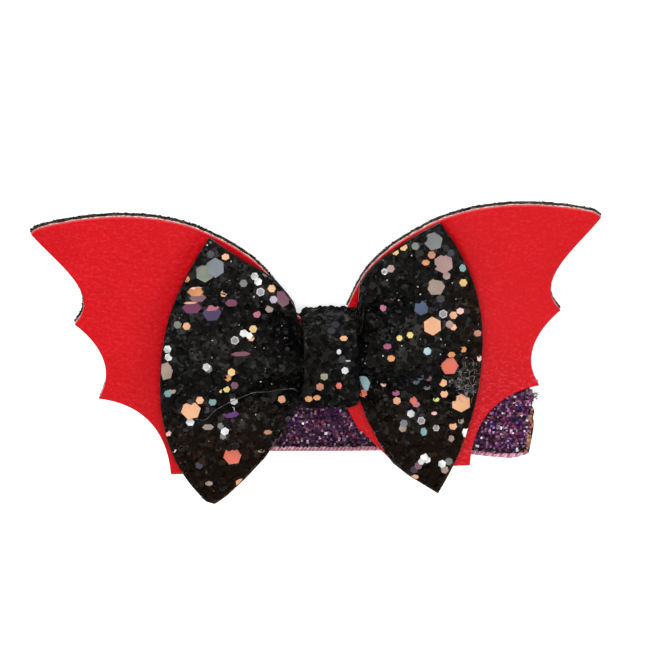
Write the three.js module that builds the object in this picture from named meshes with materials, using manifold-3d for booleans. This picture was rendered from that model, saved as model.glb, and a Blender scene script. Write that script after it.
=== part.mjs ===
// Bat hair clip: red leatherette bat wings on a black glitter backing, a black glitter bow pinched by a
// band, and a ribbon-covered clip glued behind. Millimetres, +Z up. The clip lies on its back, as it does
// by itself on a table: the clip's lower arm and the wings' top edges touch z = 0.
import * as THREE from "three";
import { mergeVertices } from "three/addons/utils/BufferGeometryUtils.js";
import Module from "manifold-3d";

const wasm = await Module();
wasm.setup();

// Driving sizes. Every piece is drawn face up first: X along the span, Y up the wings and Z out of their
// red face, which is z = 0. The wings' middle is x = 0, and the band's middle is y = 0.
const GLUE_GAP = 0.3; // between pieces that are glued or pressed together

const LEATHER_THICKNESS = 1.0;
const BACKING_THICKNESS = 1.0;
const BOW_THICKNESS = 1.1;
const BAND_THICKNESS = 1.0;
const RIBBON_THICKNESS = 1.0;
const CLIP_THICKNESS = 0.8;

const WING_HALF_SPAN = 45.1;
const WING_RISE = 23.6;
const WING_DROP = 19.9;
const WAIST_HALF_HEIGHT = 5.85; // of the wings and of the bow, where the band holds them
const WAIST_HALF_LENGTH = 3.0; // of the wings, between their inner edges

const BAND_WIDTH = 8.4;
const BAND_SHIFT = 1.65; // the band and bow sit a little to one side of the wings' middle
const BAND_FRONT_RADIUS = 2.2; // inside the band's upper front corner
const BAND_LOW_RADIUS = 1.0; // inside its lower front corner
const BAND_BACK_RADIUS = 0.4; // inside its back corners

const BOW_RISE = 20.9;
const BOW_DROP = 23.9;
const BOW_TURN = 1.6; // degrees, anticlockwise on the wings
const BOW_LIFT = 5.2; // highest mean height of a loop over the leather
const WAIST_LIFT = 4.1; // the same under the band
const FOLD_HEIGHT = 2.1; // of a ridge over the mean, under the band
const RIDGE_PITCH = 0.84; // from ridge to ridge, as a share of the half height
const WAIST_CROWN = 1.0; // how far the sheet's edges drop under the band
const CORNER_DROP = 1.8; // and at the loops' corners

const RIBBON_WIDTH = 11.0;
const RIBBON_PAST_NOSE = 0.8;
const RIBBON_PAST_BEND = 3.2;
const RIBBON_TURN = -3.8; // degrees, the ribbon is glued on a little askew

const CLIP_LENGTH = 48;
const CLIP_WIDTH = 7.4;
const CLIP_SHIFT = 6.6; // its middle, to one side of the wings' middle
const CLIP_CLEARANCE = 1.3; // its edge, below the band
const CLIP_STRAIGHT = 30; // the stretch where its arms are parallel
const HAIR_GAP = 6.0;
const NOSE_GAP = 0.6; // between the arms where they grip
const NOSE_LENGTH = 3.5; // of the lower arm's turned-out tip
const NOSE_FLARE = 1.4; // how far that tip turns out

// The wing's top edge from the waist to the tip, in shares of the half span and of the rise.
const TOP_EDGE = [
  { across: 0.1, up: 0.3 },
  { across: 0.128, up: 0.412 },
  { across: 0.154, up: 0.508 },
  { across: 0.184, up: 0.588 },
  { across: 0.235, up: 0.684 },
  { across: 0.304, up: 0.78 },
  { across: 0.375, up: 0.857 },
  { across: 0.443, up: 0.918 },
  { across: 0.545, up: 0.973 },
  { across: 0.665, up: 1.0 },
  { across: 0.763, up: 0.998 },
  { across: 0.865, up: 0.978 },
  { across: 0.967, up: 0.939 },
  { across: 1.0, up: 0.902 },
];

// The three bays of its outer edge, from the tip down: where each ends, and the handles of its curve, in
// shares of the half span and of the rise, or of the drop below zero.
const BAYS = [
  { end: [0.854, 0.249], leave: [0.915, 0.69], arrive: [0.748, 0.463] },
  { end: [0.776, -0.337], leave: [0.785, 0.14], arrive: [0.705, -0.075] },
  { end: [0.528, -1.0], leave: [0.643, -0.382], arrive: [0.539, -0.578] },
];

// The wing's inner edge, from its foot up to the waist.
const INNER_EDGE = [
  { across: 0.275, up: -1.0 },
  { across: 0.169, up: -0.734 },
  { across: 0.132, up: -0.647 },
  { across: 0.104, up: -0.517 },
];

// The bow's loops: how far each reaches from the band's middle at half height and at its two corners, and
// how square its outer edge turns into each corner. skew is how much further it reaches above the middle
// than below, and column is its place in the sections' pairs.
const LOOPS = {
  left: {
    column: 0,
    side: -1,
    reach: 26.9,
    skew: -1.8,
    topCorner: 18.1,
    topPower: 2.05,
    bottomCorner: 20.6,
    bottomPower: 2.8,
  },
  right: {
    column: 1,
    side: 1,
    reach: 24.1,
    skew: 2.0,
    topCorner: 18.5,
    topPower: 2.3,
    bottomCorner: 16.2,
    bottomPower: 2.05,
  },
};

// Sections of a loop, from the band out. up and down are its half heights as shares of the bow's rise and
// drop, on the left loop and on the right. lift is the share of the way from the waist's mean height to the
// loops', fold the share of a ridge's height, and crown the share of the way from the waist's crown to the
// corners' drop.
const SECTIONS = [
  { out: 0.05, up: [0.485, 0.615], down: [0.3, 0.385], lift: 0.2, fold: 1.0, crown: 0.1 },
  { out: 0.12, up: [0.562, 0.685], down: [0.345, 0.465], lift: 0.45, fold: 0.95, crown: 0.2 },
  { out: 0.25, up: [0.68, 0.78], down: [0.5, 0.62], lift: 0.8, fold: 0.78, crown: 0.35 },
  { out: 0.4, up: [0.76, 0.845], down: [0.65, 0.742], lift: 1.0, fold: 0.55, crown: 0.5 },
  { out: 0.6, up: [0.836, 0.922], down: [0.795, 0.84], lift: 0.95, fold: 0.3, crown: 0.7 },
  { out: 0.8, up: [0.925, 0.985], down: [0.925, 0.92], lift: 0.65, fold: 0.14, crown: 0.85 },
  { out: 0.92, up: [0.982, 1.015], down: [0.983, 0.968], lift: 0.47, fold: 0.1, crown: 0.94 },
  { out: 1.0, up: [1.02, 1.035], down: [0.967, 1.0], lift: 0.3, fold: 0.05, crown: 1.0 },
];

const CURVE_STEPS = 10; // straight pieces of one bay or corner
const TOP_EDGE_STEPS = 30;
const LOOP_STEPS = 14; // of the bow, along each loop
const WAIST_STEPS = 3;
const HEIGHT_STEPS = 28; // of the bow, from its lower edge to its upper edge
const CLOSER_NEAR_BAND = 1.3; // how much closer together the bow's sections are near the band
const SAME_POINT = 0.0001; // corners this close are one

// What follows from them.
const backingFront = -LEATHER_THICKNESS - GLUE_GAP;
const backingBack = backingFront - BACKING_THICKNESS;
const bandInnerHalf = WAIST_HALF_HEIGHT + GLUE_GAP;
const bandOuterHalf = bandInnerHalf + BAND_THICKNESS;
const bandInnerFront = WAIST_LIFT + FOLD_HEIGHT + GLUE_GAP;
const bandInnerBack = backingBack - GLUE_GAP;
const bandHalfWidth = BAND_WIDTH / 2;
const ribbonFront = backingBack - GLUE_GAP;
const ribbonBack = ribbonFront - RIBBON_THICKNESS;
const ribbonTurn = THREE.MathUtils.degToRad(RIBBON_TURN);
const clipFront = ribbonBack - GLUE_GAP;
const clipBack = clipFront - 2 * CLIP_THICKNESS - HAIR_GAP;
const clipDrop = bandOuterHalf + CLIP_CLEARANCE + CLIP_WIDTH / 2; // its middle, below the band's

const leather = new THREE.MeshStandardMaterial({ color: 0xd9222b, roughness: 0.5 });
const glitterBacking = new THREE.MeshStandardMaterial({ color: 0x14110f, roughness: 0.6 });
const glitterCanvas = new THREE.MeshStandardMaterial({ color: 0x201f22, roughness: 0.35 });
const tinsel = new THREE.MeshStandardMaterial({ color: 0x5a2f72, roughness: 0.35, metalness: 0.5 });
const steel = new THREE.MeshStandardMaterial({ color: 0xb9bbc0, roughness: 0.3, metalness: 1.0 });

// A closed geometry as a solid that can be cut.
function solidOf(geometry) {
  const bare = geometry.clone();
  bare.deleteAttribute("normal");
  bare.deleteAttribute("uv");
  const merged = mergeVertices(bare, SAME_POINT);
  return new wasm.Manifold(
    new wasm.Mesh({
      numProp: 3,
      vertProperties: merged.getAttribute("position").array,
      triVerts: new Uint32Array(merged.getIndex().array),
    }),
  );
}

function geometryOf(solid) {
  const mesh = solid.getMesh();
  const geometry = new THREE.BufferGeometry();
  geometry.setAttribute("position", new THREE.BufferAttribute(mesh.vertProperties, 3));
  geometry.setIndex(new THREE.BufferAttribute(mesh.triVerts, 1));
  return geometry;
}

// A shape drawn in Y and Z, made thick along X about x = 0.
function extrudeAlongX(shape, width) {
  const geometry = new THREE.ExtrudeGeometry(shape, { depth: width, bevelEnabled: false });
  geometry.translate(0, 0, -width / 2);
  const turn = new THREE.Matrix4().makeBasis(
    new THREE.Vector3(0, 1, 0),
    new THREE.Vector3(0, 0, 1),
    new THREE.Vector3(1, 0, 0),
  );
  return geometry.applyMatrix4(turn);
}

// The space that the band passes through above the waist, or below it, with the glue's gap all round.
function bandPassage(side) {
  const width = BAND_WIDTH + 2 * GLUE_GAP;
  const height = bandOuterHalf + GLUE_GAP - WAIST_HALF_HEIGHT;
  const depth = bandInnerFront - bandInnerBack + 2 * (BAND_THICKNESS + GLUE_GAP);
  const passage = new THREE.BoxGeometry(width, height, depth);
  const middleZ = (bandInnerFront + bandInnerBack) / 2;
  passage.translate(BAND_SHIFT, side * (WAIST_HALF_HEIGHT + height / 2), middleZ);
  return solidOf(passage);
}

// A place on a wing, from its shares of the span and of the rise or drop.
function wingPoint(across, up) {
  return new THREE.Vector2(across * WING_HALF_SPAN, up * (up > 0 ? WING_RISE : WING_DROP));
}

// One wing's outline, from the waist's upper corner round the tip to its lower corner.
function wingHalfOutline() {
  const upperWaist = new THREE.Vector2(WAIST_HALF_LENGTH, WAIST_HALF_HEIGHT);
  const lowerWaist = new THREE.Vector2(WAIST_HALF_LENGTH, -WAIST_HALF_HEIGHT);
  const topEdge = new THREE.SplineCurve([
    upperWaist,
    ...TOP_EDGE.map((row) => wingPoint(row.across, row.up)),
  ]);
  const points = topEdge.getPoints(TOP_EDGE_STEPS);
  let start = points[points.length - 1];
  for (const bay of BAYS) {
    const end = wingPoint(...bay.end);
    const curve = new THREE.CubicBezierCurve(start, wingPoint(...bay.leave), wingPoint(...bay.arrive), end);
    points.push(...curve.getPoints(CURVE_STEPS).slice(1));
    start = end;
  }
  points.push(...INNER_EDGE.map((row) => wingPoint(row.across, row.up)), lowerWaist);
  return points;
}

// Both wings in one sheet, cut away above and below the waist where the band passes.
function wingSheet(frontZ, thickness) {
  const right = wingHalfOutline();
  const left = right.map((p) => new THREE.Vector2(-p.x, p.y)).reverse();
  const sheet = new THREE.ExtrudeGeometry(new THREE.Shape([...right, ...left]), {
    depth: thickness,
    bevelEnabled: false,
  });
  sheet.translate(0, 0, frontZ - thickness);
  const solid = solidOf(sheet).subtract(bandPassage(1)).subtract(bandPassage(-1));
  return geometryOf(solid);
}

function wings() {
  const mesh = new THREE.Mesh(wingSheet(0, LEATHER_THICKNESS), leather);
  mesh.name = "wings";
  return mesh;
}

function wingsBacking() {
  const mesh = new THREE.Mesh(wingSheet(backingFront, BACKING_THICKNESS), glitterBacking);
  mesh.name = "wings_backing";
  return mesh;
}

// A loop's section at a share of its way out from the band, between the two nearest rows.
function sectionAt(loop, out) {
  const waist = {
    out: 0,
    up: WAIST_HALF_HEIGHT,
    down: WAIST_HALF_HEIGHT,
    lift: WAIST_LIFT,
    fold: FOLD_HEIGHT,
    crown: WAIST_CROWN,
  };
  const rows = SECTIONS.map((row) => ({
    out: row.out,
    up: BOW_RISE * row.up[loop.column],
    down: BOW_DROP * row.down[loop.column],
    lift: THREE.MathUtils.lerp(WAIST_LIFT, BOW_LIFT, row.lift),
    fold: FOLD_HEIGHT * row.fold,
    crown: THREE.MathUtils.lerp(WAIST_CROWN, CORNER_DROP, row.crown),
  }));
  const all = [waist, ...rows];
  const after = out > 0 ? all.findIndex((row) => row.out >= out) : 1;
  const before = all[after - 1];
  const share = (out - before.out) / (all[after].out - before.out);
  const section = {};
  for (const name of ["up", "down", "lift", "fold", "crown"]) {
    section[name] = THREE.MathUtils.lerp(before[name], all[after][name], share);
  }
  return section;
}

// The front of the bow at a share out along a loop and a share high from -1, its lower edge, to 1.
function bowFront(loop, out, high) {
  const start = bandHalfWidth + GLUE_GAP;
  const corner = high > 0 ? loop.topCorner : loop.bottomCorner;
  const power = high > 0 ? loop.topPower : loop.bottomPower;
  const skew = loop.skew * high * (1 - Math.abs(high));
  const reach = loop.reach + skew - (loop.reach - corner) * Math.abs(high) ** power;
  const section = sectionAt(loop, out);
  const wave = Math.cos((2 * Math.PI * high) / RIDGE_PITCH);
  return new THREE.Vector3(
    loop.side * (start + out * (reach - start)),
    high * (high > 0 ? section.up : section.down),
    section.lift + section.fold * wave - section.crown * high * high,
  );
}

// The bow is one sheet of canvas, pinched into three ridges under the band. Its back lies a thickness behind
// its front, but no closer to the leather than the glue.
function bow() {
  const columns = [];
  for (let i = LOOP_STEPS; i > 0; i -= 1) columns.push({ loop: LOOPS.left, out: i / LOOP_STEPS });
  for (let i = 0; i <= WAIST_STEPS; i += 1) columns.push({ waist: i / WAIST_STEPS });
  for (let i = 1; i <= LOOP_STEPS; i += 1) columns.push({ loop: LOOPS.right, out: i / LOOP_STEPS });

  const front = columns.map((column) => {
    const points = [];
    for (let j = 0; j <= HEIGHT_STEPS; j += 1) {
      const high = (2 * j) / HEIGHT_STEPS - 1;
      if (column.loop) {
        points.push(bowFront(column.loop, column.out ** CLOSER_NEAR_BAND, high));
      } else {
        const leftEnd = bowFront(LOOPS.left, 0, high);
        const rightEnd = bowFront(LOOPS.right, 0, high);
        points.push(leftEnd.lerp(rightEnd, column.waist));
      }
    }
    return points;
  });

  const back = front.map((points, i) =>
    points.map((point, j) => {
      const along = new THREE.Vector3().subVectors(
        front[Math.min(i + 1, front.length - 1)][j],
        front[Math.max(i - 1, 0)][j],
      );
      const upwards = new THREE.Vector3().subVectors(
        points[Math.min(j + 1, points.length - 1)],
        points[Math.max(j - 1, 0)],
      );
      const normal = along.cross(upwards).normalize();
      const backZ = Math.max(point.z - BOW_THICKNESS / normal.z, GLUE_GAP);
      return new THREE.Vector3(point.x, point.y, backZ);
    }),
  );

  const mesh = new THREE.Mesh(closedSheet(front, back), glitterCanvas);
  mesh.name = "bow";
  return mesh;
}

// A closed body between two grids of points, front[column][row] and back[column][row].
function closedSheet(front, back) {
  const columns = front.length;
  const rows = front[0].length;
  const points = [...front.flat(), ...back.flat()];
  const behind = columns * rows;
  const at = (i, j) => i * rows + j;
  const faces = [];
  const quad = (a, b, c, d) => faces.push(a, b, c, a, c, d);
  for (let i = 0; i < columns - 1; i += 1) {
    for (let j = 0; j < rows - 1; j += 1) {
      quad(at(i, j), at(i + 1, j), at(i + 1, j + 1), at(i, j + 1));
      quad(behind + at(i, j), behind + at(i, j + 1), behind + at(i + 1, j + 1), behind + at(i + 1, j));
    }
  }
  const rim = [];
  for (let i = 0; i < columns - 1; i += 1) rim.push(at(i, 0));
  for (let j = 0; j < rows - 1; j += 1) rim.push(at(columns - 1, j));
  for (let i = columns - 1; i > 0; i -= 1) rim.push(at(i, rows - 1));
  for (let j = rows - 1; j > 0; j -= 1) rim.push(at(0, j));
  rim.forEach((a, k) => {
    const b = rim[(k + 1) % rim.length];
    quad(a, behind + a, behind + b, b);
  });
  const geometry = new THREE.BufferGeometry().setFromPoints(points);
  geometry.setIndex(faces);
  geometry.computeVertexNormals();
  return geometry;
}

// A loop in Y and Z with rounded corners, of the band's inside grown by a margin.
function bandLoop(path, margin) {
  const half = bandInnerHalf + margin;
  const frontZ = bandInnerFront + margin;
  const backZ = bandInnerBack - margin;
  const frontRadius = BAND_FRONT_RADIUS + margin;
  const lowRadius = BAND_LOW_RADIUS + margin;
  const backRadius = BAND_BACK_RADIUS + margin;
  const quarter = Math.PI / 2;
  path.absarc(half - frontRadius, frontZ - frontRadius, frontRadius, 0, quarter);
  path.absarc(lowRadius - half, frontZ - lowRadius, lowRadius, quarter, 2 * quarter);
  path.absarc(backRadius - half, backZ + backRadius, backRadius, 2 * quarter, 3 * quarter);
  path.absarc(half - backRadius, backZ + backRadius, backRadius, 3 * quarter, 4 * quarter);
  return path;
}

function band() {
  const outer = new THREE.Shape(bandLoop(new THREE.Path(), BAND_THICKNESS).getPoints(CURVE_STEPS));
  outer.holes.push(new THREE.Path(bandLoop(new THREE.Path(), 0).getPoints(CURVE_STEPS)));
  const mesh = new THREE.Mesh(extrudeAlongX(outer, BAND_WIDTH), glitterCanvas);
  mesh.name = "band";
  mesh.position.x = BAND_SHIFT;
  return mesh;
}

// The ribbon covers the clip's upper arm, and its upper edge makes room for the band.
function ribbon() {
  const length = CLIP_LENGTH + RIBBON_PAST_NOSE + RIBBON_PAST_BEND;
  const strip = new THREE.BoxGeometry(length, RIBBON_WIDTH, RIBBON_THICKNESS);
  strip.rotateZ(ribbonTurn);
  const middleX = CLIP_SHIFT + (RIBBON_PAST_BEND - RIBBON_PAST_NOSE) / 2;
  strip.translate(middleX, -clipDrop, (ribbonFront + ribbonBack) / 2);
  const mesh = new THREE.Mesh(geometryOf(solidOf(strip).subtract(bandPassage(-1))), tinsel);
  mesh.name = "ribbon";
  return mesh;
}

// The outline of a strip that follows a line of points, half its thickness to each side.
function stripOutline(points, thickness) {
  const offset = (side) =>
    points.map((point, i) => {
      const before = new THREE.Vector2().subVectors(point, points[Math.max(i - 1, 0)]);
      const after = new THREE.Vector2().subVectors(points[Math.min(i + 1, points.length - 1)], point);
      if (i === 0) before.copy(after);
      if (i === points.length - 1) after.copy(before);
      const tangent = before.clone().normalize().add(after.clone().normalize()).normalize();
      const widening = 1 / tangent.dot(before.normalize());
      const reach = (side * thickness * widening) / 2;
      return new THREE.Vector2(point.x - tangent.y * reach, point.y + tangent.x * reach);
    });
  return [...offset(1), ...offset(-1).reverse()];
}

// The clip is one bent strip: a straight upper arm, a round bend behind, and a lower arm that comes up to
// grip at the nose.
function clip() {
  const half = CLIP_LENGTH / 2;
  const upperZ = clipFront - CLIP_THICKNESS / 2;
  const lowerZ = clipBack + CLIP_THICKNESS / 2;
  const bendRadius = (upperZ - lowerZ) / 2;
  const bendX = half - bendRadius - CLIP_THICKNESS / 2;
  const kneeX = bendX - CLIP_STRAIGHT;
  const gripX = NOSE_LENGTH - half;
  const gripZ = upperZ - CLIP_THICKNESS - NOSE_GAP;
  const middle = new THREE.Path();
  middle.moveTo(-half, upperZ);
  middle.lineTo(bendX, upperZ);
  middle.absarc(bendX, (upperZ + lowerZ) / 2, bendRadius, Math.PI / 2, -Math.PI / 2, true);
  middle.lineTo(kneeX, lowerZ);
  middle.bezierCurveTo((kneeX + gripX) / 2, lowerZ, (kneeX + 2 * gripX) / 3, gripZ, gripX, gripZ);
  middle.lineTo(-half, gripZ - NOSE_FLARE);
  const outline = stripOutline(middle.getPoints(CURVE_STEPS), CLIP_THICKNESS);
  const geometry = new THREE.ExtrudeGeometry(new THREE.Shape(outline), {
    depth: CLIP_WIDTH,
    bevelEnabled: false,
  });
  geometry.rotateX(Math.PI / 2);
  geometry.translate(0, CLIP_WIDTH / 2, 0);
  const mesh = new THREE.Mesh(geometry, steel);
  mesh.name = "clip";
  mesh.position.set(CLIP_SHIFT, -clipDrop, 0);
  return mesh;
}

// Face up, the bow turns about the band's middle.
const faceUp = new THREE.Group();
const bowTurned = new THREE.Group();
bowTurned.position.x = BAND_SHIFT;
bowTurned.rotation.z = THREE.MathUtils.degToRad(BOW_TURN);
bowTurned.add(bow());
faceUp.add(wings(), wingsBacking(), bowTurned, band(), ribbon(), clip());

// Lying on its back: the wings' top edges and the clip's lower arm meet the table together.
const armEdge = CLIP_WIDTH / 2 - clipDrop;
const restTilt = Math.atan2(backingBack - clipBack, WING_RISE - armEdge);
faceUp.rotation.x = -restTilt;

const batHairClip = new THREE.Group();
batHairClip.add(faceUp);
batHairClip.updateMatrixWorld(true);
const box = new THREE.Box3().setFromObject(batHairClip, true);
const middle = box.getCenter(new THREE.Vector3());
faceUp.position.set(-middle.x, -middle.y, -box.min.z);

export default batHairClip;
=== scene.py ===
"""Bat hair clip: red leatherette wings, a pinched bow of chunky glitter canvas, and a tinsel-covered clip.

Each piece is drawn face up in millimetres, X along the span, Y up the wings and Z out of their red face,
and then laid down on its back as the solids are.
"""

import math

import bmesh
import bpy
import numpy as np
from mathutils import Matrix, Vector, noise


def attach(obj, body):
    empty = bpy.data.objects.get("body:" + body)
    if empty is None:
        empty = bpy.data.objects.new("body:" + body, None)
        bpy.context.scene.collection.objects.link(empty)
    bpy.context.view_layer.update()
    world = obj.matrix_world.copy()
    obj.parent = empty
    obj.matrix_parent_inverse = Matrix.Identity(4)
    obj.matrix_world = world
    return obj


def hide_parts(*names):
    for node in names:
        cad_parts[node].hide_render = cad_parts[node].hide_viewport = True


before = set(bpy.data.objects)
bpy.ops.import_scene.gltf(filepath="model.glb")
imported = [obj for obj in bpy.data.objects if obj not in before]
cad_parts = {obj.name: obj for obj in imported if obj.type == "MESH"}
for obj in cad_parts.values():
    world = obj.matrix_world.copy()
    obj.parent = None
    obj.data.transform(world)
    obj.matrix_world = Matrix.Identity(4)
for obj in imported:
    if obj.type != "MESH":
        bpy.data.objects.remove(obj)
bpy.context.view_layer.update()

# How the clip lies on its back: turned about X, then moved.
LIE_TILT = 0.2795355
LIE_SHIFT = (0.0, -0.1394296, 8.7353031)

BAND_SHIFT = 1.65
BOW_TURN = math.radians(1.6)

# The wing's edges, in shares of the half span and of the rise, or of the drop below zero.
WING_HALF_SPAN, WING_RISE, WING_DROP = 45.1, 23.6, 19.9
WAIST_HALF_LENGTH, WAIST_HALF_HEIGHT = 3.0, 5.85
PASSAGE_HALF_WIDTH, PASSAGE_END = 4.5, 7.45
# The sheets under each other: heights of their fronts and thicknesses.
LEATHER_THICKNESS = 0.75
LINING_FRONT, LINING_THICKNESS = -0.72, 0.5
BACKING_FRONT, BACKING_THICKNESS = -1.3, 1.0
TOP_EDGE = [
    (0.1, 0.3), (0.128, 0.412), (0.154, 0.508), (0.184, 0.588), (0.235, 0.684), (0.304, 0.78),
    (0.375, 0.857), (0.443, 0.918), (0.545, 0.973), (0.665, 1.0), (0.763, 0.998), (0.865, 0.978),
    (0.967, 0.939), (1.0, 0.902),
]
BAYS = [
    ((0.915, 0.69), (0.748, 0.463), (0.854, 0.249)),
    ((0.785, 0.14), (0.705, -0.075), (0.776, -0.337)),
    ((0.643, -0.382), (0.539, -0.578), (0.528, -1.0)),
]
INNER_EDGE = [(0.275, -1.0), (0.169, -0.734), (0.132, -0.647), (0.104, -0.517)]

# The bow's loops by side: reach at half height, at the top corner and how square it turns into that, at
# the bottom corner and how square, and how much further it reaches above the middle than below.
BOW_RISE, BOW_DROP, BOW_START = 20.9, 23.9, 4.5
LOOPS = {-1: (26.9, 18.1, 2.05, 20.6, 2.8, -1.8), 1: (24.1, 18.5, 2.3, 16.2, 2.05, 2.0)}
# Sections from the band out: share out, half heights up (left, right) and down (left, right), mean height,
# ridge height and crown.
SECTIONS = np.array([
    (0.0, 0.28, 0.28, 0.245, 0.245, 4.1, 2.1, 1.0),
    (0.05, 0.485, 0.615, 0.3, 0.385, 4.32, 2.1, 1.08),
    (0.12, 0.562, 0.685, 0.345, 0.465, 4.59, 1.99, 1.16),
    (0.25, 0.68, 0.78, 0.5, 0.62, 4.98, 1.64, 1.28),
    (0.4, 0.76, 0.845, 0.65, 0.742, 5.2, 1.16, 1.4),
    (0.6, 0.836, 0.922, 0.795, 0.84, 5.14, 0.63, 1.56),
    (0.8, 0.925, 0.985, 0.925, 0.92, 4.81, 0.294, 1.68),
    (0.92, 0.982, 1.015, 0.983, 0.968, 4.62, 0.21, 1.75),
    (1, 1.02, 1.035, 0.967, 1, 4.43, 0.105, 1.8),
])
RIDGE_PITCH = 0.84

# Colours of the coloured flakes, linear.
FLAKE_COLOURS = {
    "greige": (0.34, 0.265, 0.215), "sage": (0.2, 0.22, 0.18), "steel": (0.18, 0.21, 0.23),
    "slate": (0.18, 0.19, 0.19), "dusk": (0.05, 0.05, 0.07), "moss": (0.30, 0.29, 0.20),
    "peach": (0.82, 0.43, 0.24), "copper": (0.50, 0.22, 0.14), "amber": (0.66, 0.29, 0.12),
    "gold": (0.78, 0.52, 0.22), "yellow": (0.85, 0.66, 0.22), "coral": (0.7, 0.168, 0.115),
    "blush": (0.85, 0.50, 0.47), "pink": (0.50, 0.17, 0.24), "rose": (0.385, 0.25, 0.23),
    "mauve": (0.19, 0.085, 0.117), "plum": (0.18, 0.06, 0.10), "magenta": (0.33, 0.09, 0.17),
    "lilac": (0.48, 0.42, 0.52), "purple": (0.12, 0.04, 0.16), "violet": (0.146, 0.03, 0.09),
    "indigo": (0.05, 0.03, 0.1), "blue": (0.066, 0.1, 0.163), "sky": (0.38, 0.55, 0.585),
    "teal": (0.22, 0.36, 0.37), "white": (1.1, 1.1, 1.1), "pearl": (0.62, 0.62, 0.64),
    "ring": (0.30, 0.28, 0.28), "coal": (0.035, 0.036, 0.042),
    "lime": (0.62, 0.72, 0.18), "navy": (0.07, 0.10, 0.14),
}
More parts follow.
